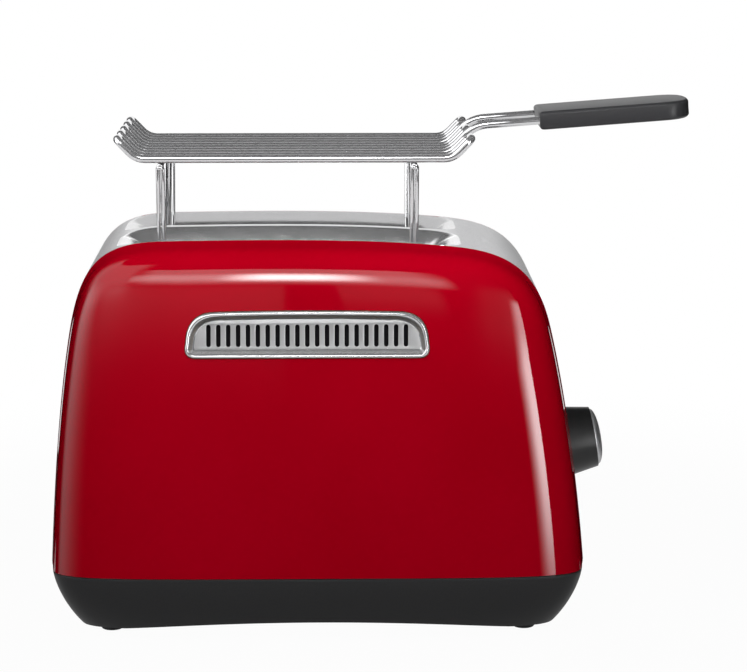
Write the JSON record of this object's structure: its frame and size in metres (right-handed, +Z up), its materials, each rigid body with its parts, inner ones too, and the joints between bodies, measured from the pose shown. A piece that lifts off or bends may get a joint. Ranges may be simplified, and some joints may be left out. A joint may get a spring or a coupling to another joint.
{
  "type": "two-slot toaster",
  "caption": "Two-slot pop-up toaster with bulging enamelled sides, a satin steel top band, end controls and a lift-off wire bun rack with a flat grip.",
  "frame": {"origin": "on the surface that the feet stand on, under the middle of the whole object, from the left end of the base to the tip of the rack's grip", "axes": "+X along the slots towards the control end and the rack's grip, +Y from the front long side to the rear one, +Z up"},
  "size_m": [0.324, 0.1838, 0.263],
  "materials": {
    "enamel": "high gloss red enamel",
    "satin_steel": "satin, finely brushed",
    "polished_steel": "polished",
    "chromed_wire": "mirror chrome",
    "moulded_plastic": "fine satin",
    "grip_plastic": "satin",
    "rubber": "matte",
    "zinc_plated_steel": "zinc plated",
    "mica": "matte flaky sheet",
    "circuit_board": "satin",
    "copper": "wound copper wire"
  },
  "bodies": {
    "root": {"front_shell": "enamel", "rear_shell": "enamel", "top_band": "satin_steel", "front_vent": "polished_steel", "rear_vent": "polished_steel", "base_housing": "moulded_plastic", "lever_channel": "moulded_plastic", "timer_control": "moulded_plastic", "button_carrier": "moulded_plastic", "foot_front_left": "rubber", "foot_front_right": "rubber", "foot_rear_left": "rubber", "foot_rear_right": "rubber", "cord_inlet": "rubber", "screw_front_left": "zinc_plated_steel", "screw_front_right": "zinc_plated_steel", "screw_rear_left": "zinc_plated_steel", "screw_rear_right": "zinc_plated_steel", "rail_front": "zinc_plated_steel", "rail_rear": "zinc_plated_steel", "end_plate_left": "zinc_plated_steel", "end_plate_right": "zinc_plated_steel", "guide_rod": "zinc_plated_steel", "lift_spring": "zinc_plated_steel", "heater_front_outer": "mica", "heater_front_inner": "mica", "heater_rear_inner": "mica", "heater_rear_outer": "mica", "control_board": "circuit_board", "hold_magnet": "copper"},
    "dial": {"browning_knob": "moulded_plastic", "knob_cap": "satin_steel", "knob_shaft": "zinc_plated_steel"},
    "lift": {"carriage": "zinc_plated_steel", "lift_lever": "moulded_plastic", "bread_rest_front": "zinc_plated_steel", "bread_rest_rear": "zinc_plated_steel"},
    "guide_front_outer_body": {"guide_front_outer": "chromed_wire"},
    "guide_front_inner_body": {"guide_front_inner": "chromed_wire"},
    "guide_rear_inner_body": {"guide_rear_inner": "chromed_wire"},
    "guide_rear_outer_body": {"guide_rear_outer": "chromed_wire"},
    "button_front_upper_body": {"button_front_upper": "moulded_plastic"},
    "button_front_lower_body": {"button_front_lower": "moulded_plastic"},
    "button_rear_upper_body": {"button_rear_upper": "moulded_plastic"},
    "button_rear_lower_body": {"button_rear_lower": "moulded_plastic"},
    "tray": {"crumb_tray": "zinc_plated_steel", "crumb_tray_front": "moulded_plastic"},
    "rack": {"rack_pair_front": "chromed_wire", "rack_pair_middle": "chromed_wire", "rack_pair_rear": "chromed_wire", "rack_handle_wire_front": "chromed_wire", "rack_handle_wire_rear": "chromed_wire", "rack_support_left": "chromed_wire", "rack_support_right": "chromed_wire", "rack_grip": "grip_plastic"}
  },
  "joints": [
    {"name": "dial_turn", "type": "hinge", "parent": "root", "child": "dial", "pos_m": [0.10066, 0, 0.0832], "axis": [-0.9866, 0, -0.1633], "range_deg": [0, 270]},
    {"name": "lift_slide", "type": "slide", "parent": "root", "child": "lift", "axis": [0, 0, -1], "range_m": [0, 0.038], "stiffness_N_per_m": 60, "springref_m": -0.05, "deforming": ["lift_spring"]},
    {"name": "guide_front_outer_close", "type": "slide", "parent": "root", "child": "guide_front_outer_body", "axis": [0, 1, 0], "range_m": [0, 0.005]},
    {"name": "guide_front_inner_close", "type": "slide", "parent": "root", "child": "guide_front_inner_body", "axis": [0, -1, 0], "range_m": [0, 0.005]},
    {"name": "guide_rear_inner_close", "type": "slide", "parent": "root", "child": "guide_rear_inner_body", "axis": [0, 1, 0], "range_m": [0, 0.005]},
    {"name": "guide_rear_outer_close", "type": "slide", "parent": "root", "child": "guide_rear_outer_body", "axis": [0, -1, 0], "range_m": [0, 0.005]},
    {"name": "button_front_upper_press", "type": "slide", "parent": "root", "child": "button_front_upper_body", "axis": [-0.9866, 0, -0.1633], "range_m": [0, 0.002], "stiffness_N_per_m": 200, "springref_m": -0.002},
    {"name": "button_front_lower_press", "type": "slide", "parent": "root", "child": "button_front_lower_body", "axis": [-0.9866, 0, -0.1633], "range_m": [0, 0.002], "stiffness_N_per_m": 200, "springref_m": -0.002},
    {"name": "button_rear_upper_press", "type": "slide", "parent": "root", "child": "button_rear_upper_body", "axis": [-0.9866, 0, -0.1633], "range_m": [0, 0.002], "stiffness_N_per_m": 200, "springref_m": -0.002},
    {"name": "button_rear_lower_press", "type": "slide", "parent": "root", "child": "button_rear_lower_body", "axis": [-0.9866, 0, -0.1633], "range_m": [0, 0.002], "stiffness_N_per_m": 200, "springref_m": -0.002},
    {"name": "tray_slide", "type": "slide", "parent": "root", "child": "tray", "axis": [-1, 0, 0], "range_m": [0, 0.18]},
    {"name": "rack_lift", "type": "slide", "parent": "root", "child": "rack", "axis": [0, 0, 1], "range_m": [0, 0.12]}
  ],
  "couplings": [
    {"joint": "guide_front_outer_close", "follows": "lift_slide", "ratio": 0.13157},
    {"joint": "guide_front_inner_close", "follows": "lift_slide", "ratio": 0.13157},
    {"joint": "guide_rear_inner_close", "follows": "lift_slide", "ratio": 0.13157},
    {"joint": "guide_rear_outer_close", "follows": "lift_slide", "ratio": 0.13157}
  ]
}
